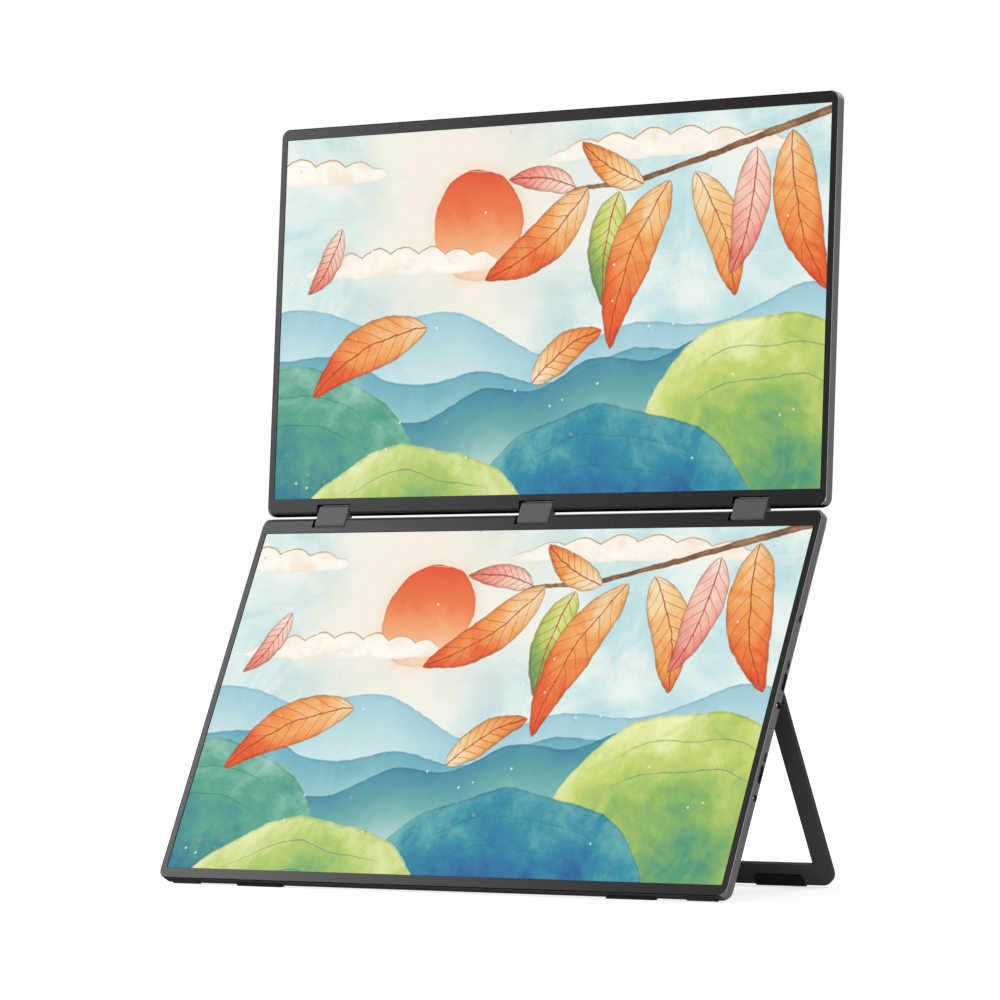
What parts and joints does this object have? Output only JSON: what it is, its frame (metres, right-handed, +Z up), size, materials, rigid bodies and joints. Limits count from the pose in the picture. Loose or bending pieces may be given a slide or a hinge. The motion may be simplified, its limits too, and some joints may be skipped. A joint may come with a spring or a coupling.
{
  "type": "dual-screen portable monitor",
  "caption": "Foldable portable monitor with two equal thin screens stacked on friction hinge links, a rear U-shaped kickstand, and USB-C and audio ports on the right-hand rim.",
  "frame": {"origin": "middle of the footprint on the table, under the screens, at floor level", "axes": "+Z up; +Y away from the viewer, from the front of the screens to the kickstand; +X to the viewer's right, the side with the ports"},
  "size_m": [0.352, 0.1676, 0.4009],
  "materials": {
    "case": "satin anodised graphite",
    "bezel": "satin black-grey",
    "display": "lit matte panel",
    "light_guide": "clear acrylic",
    "tray": "pressed sheet",
    "led": "LED bar",
    "circuit_board": "solder mask",
    "chip": "moulded",
    "steel": "stamped",
    "screw": "plated",
    "connector": "plated shell",
    "jack_plastic": "moulded",
    "switch": "moulded",
    "flat_cable": "polyimide film",
    "bracket": "black coat",
    "rubber": "matte",
    "pad_rubber": "matte",
    "hinge_cover": "satin anodised graphite",
    "torque_steel": "ground",
    "stand": "satin black coat",
    "washer": "bronze washer",
    "button": "satin",
    "power_key": "satin grey"
  },
  "bodies": {
    "lower_screen": {"lower_rear_shell": "case", "lower_bezel": "bezel", "lower_lcd_glass": "display", "lower_light_guide": "light_guide", "lower_backlight_tray": "tray", "lower_led_strip": "led", "lower_driver_board": "circuit_board", "lower_hinge_brackets": "steel", "lower_hinge_shafts": "steel", "lower_hinge_screws": "screw", "main_board": "circuit_board", "main_board_chips": "chip", "main_board_screws": "screw", "usb_c_port_1": "connector", "usb_c_port_2": "connector", "audio_jack_1": "jack_plastic", "audio_jack_2": "jack_plastic", "button_switches": "switch", "speaker_left": "jack_plastic", "speaker_right": "jack_plastic", "lower_display_cable": "flat_cable", "lower_link_cable": "flat_cable", "stand_bracket_left": "bracket", "stand_bracket_right": "bracket", "stand_bracket_screws": "screw", "stand_pivot_pins": "steel", "foot_left": "rubber", "foot_right": "rubber", "corner_pads": "pad_rubber"},
    "hinge_links": {"hinge_cover_left": "hinge_cover", "hinge_cover_middle": "hinge_cover", "hinge_cover_right": "hinge_cover", "hinge_end_caps": "hinge_cover", "hinge_torque_blocks": "torque_steel"},
    "upper_screen": {"upper_rear_shell": "case", "upper_bezel": "bezel", "upper_lcd_glass": "display", "upper_light_guide": "light_guide", "upper_backlight_tray": "tray", "upper_led_strip": "led", "upper_driver_board": "circuit_board", "upper_hinge_brackets": "steel", "upper_hinge_shafts": "steel", "upper_hinge_screws": "screw", "upper_link_cable": "flat_cable"},
    "kickstand": {"stand_frame": "stand", "stand_foot_left": "rubber", "stand_foot_right": "rubber", "stand_friction_washers": "washer"},
    "brightness_key": {"brightness_key": "button"},
    "source_button_1": {"source_button_1": "button"},
    "source_button_2": {"source_button_2": "button"},
    "power_button": {"power_button": "power_key"}
  },
  "joints": [
    {"name": "lower_hinge", "type": "hinge", "parent": "lower_screen", "child": "hinge_links", "pos_m": [0, 0.00691, 0.18763], "axis": [-1, 0, 0], "range_deg": [-90, 30]},
    {"name": "upper_hinge", "type": "hinge", "parent": "hinge_links", "child": "upper_screen", "pos_m": [0, 0.01061, 0.19539], "axis": [-1, 0, 0], "range_deg": [-68, 112]},
    {"name": "kickstand_hinge", "type": "hinge", "parent": "lower_screen", "child": "kickstand", "pos_m": [0, 0.00085, 0.1575], "axis": [1, 0, 0], "range_deg": [-53, 6]},
    {"name": "brightness_key_press", "type": "slide", "parent": "lower_screen", "child": "brightness_key", "axis": [-1, 0, 0], "range_m": [0, 0.0004], "stiffness_N_per_m": 600},
    {"name": "source_button_1_press", "type": "slide", "parent": "lower_screen", "child": "source_button_1", "axis": [-1, 0, 0], "range_m": [0, 0.0004], "stiffness_N_per_m": 600},
    {"name": "source_button_2_press", "type": "slide", "parent": "lower_screen", "child": "source_button_2", "axis": [-1, 0, 0], "range_m": [0, 0.0004], "stiffness_N_per_m": 600},
    {"name": "power_button_press", "type": "slide", "parent": "lower_screen", "child": "power_button", "axis": [-1, 0, 0], "range_m": [0, 0.0004], "stiffness_N_per_m": 600}
  ]
}
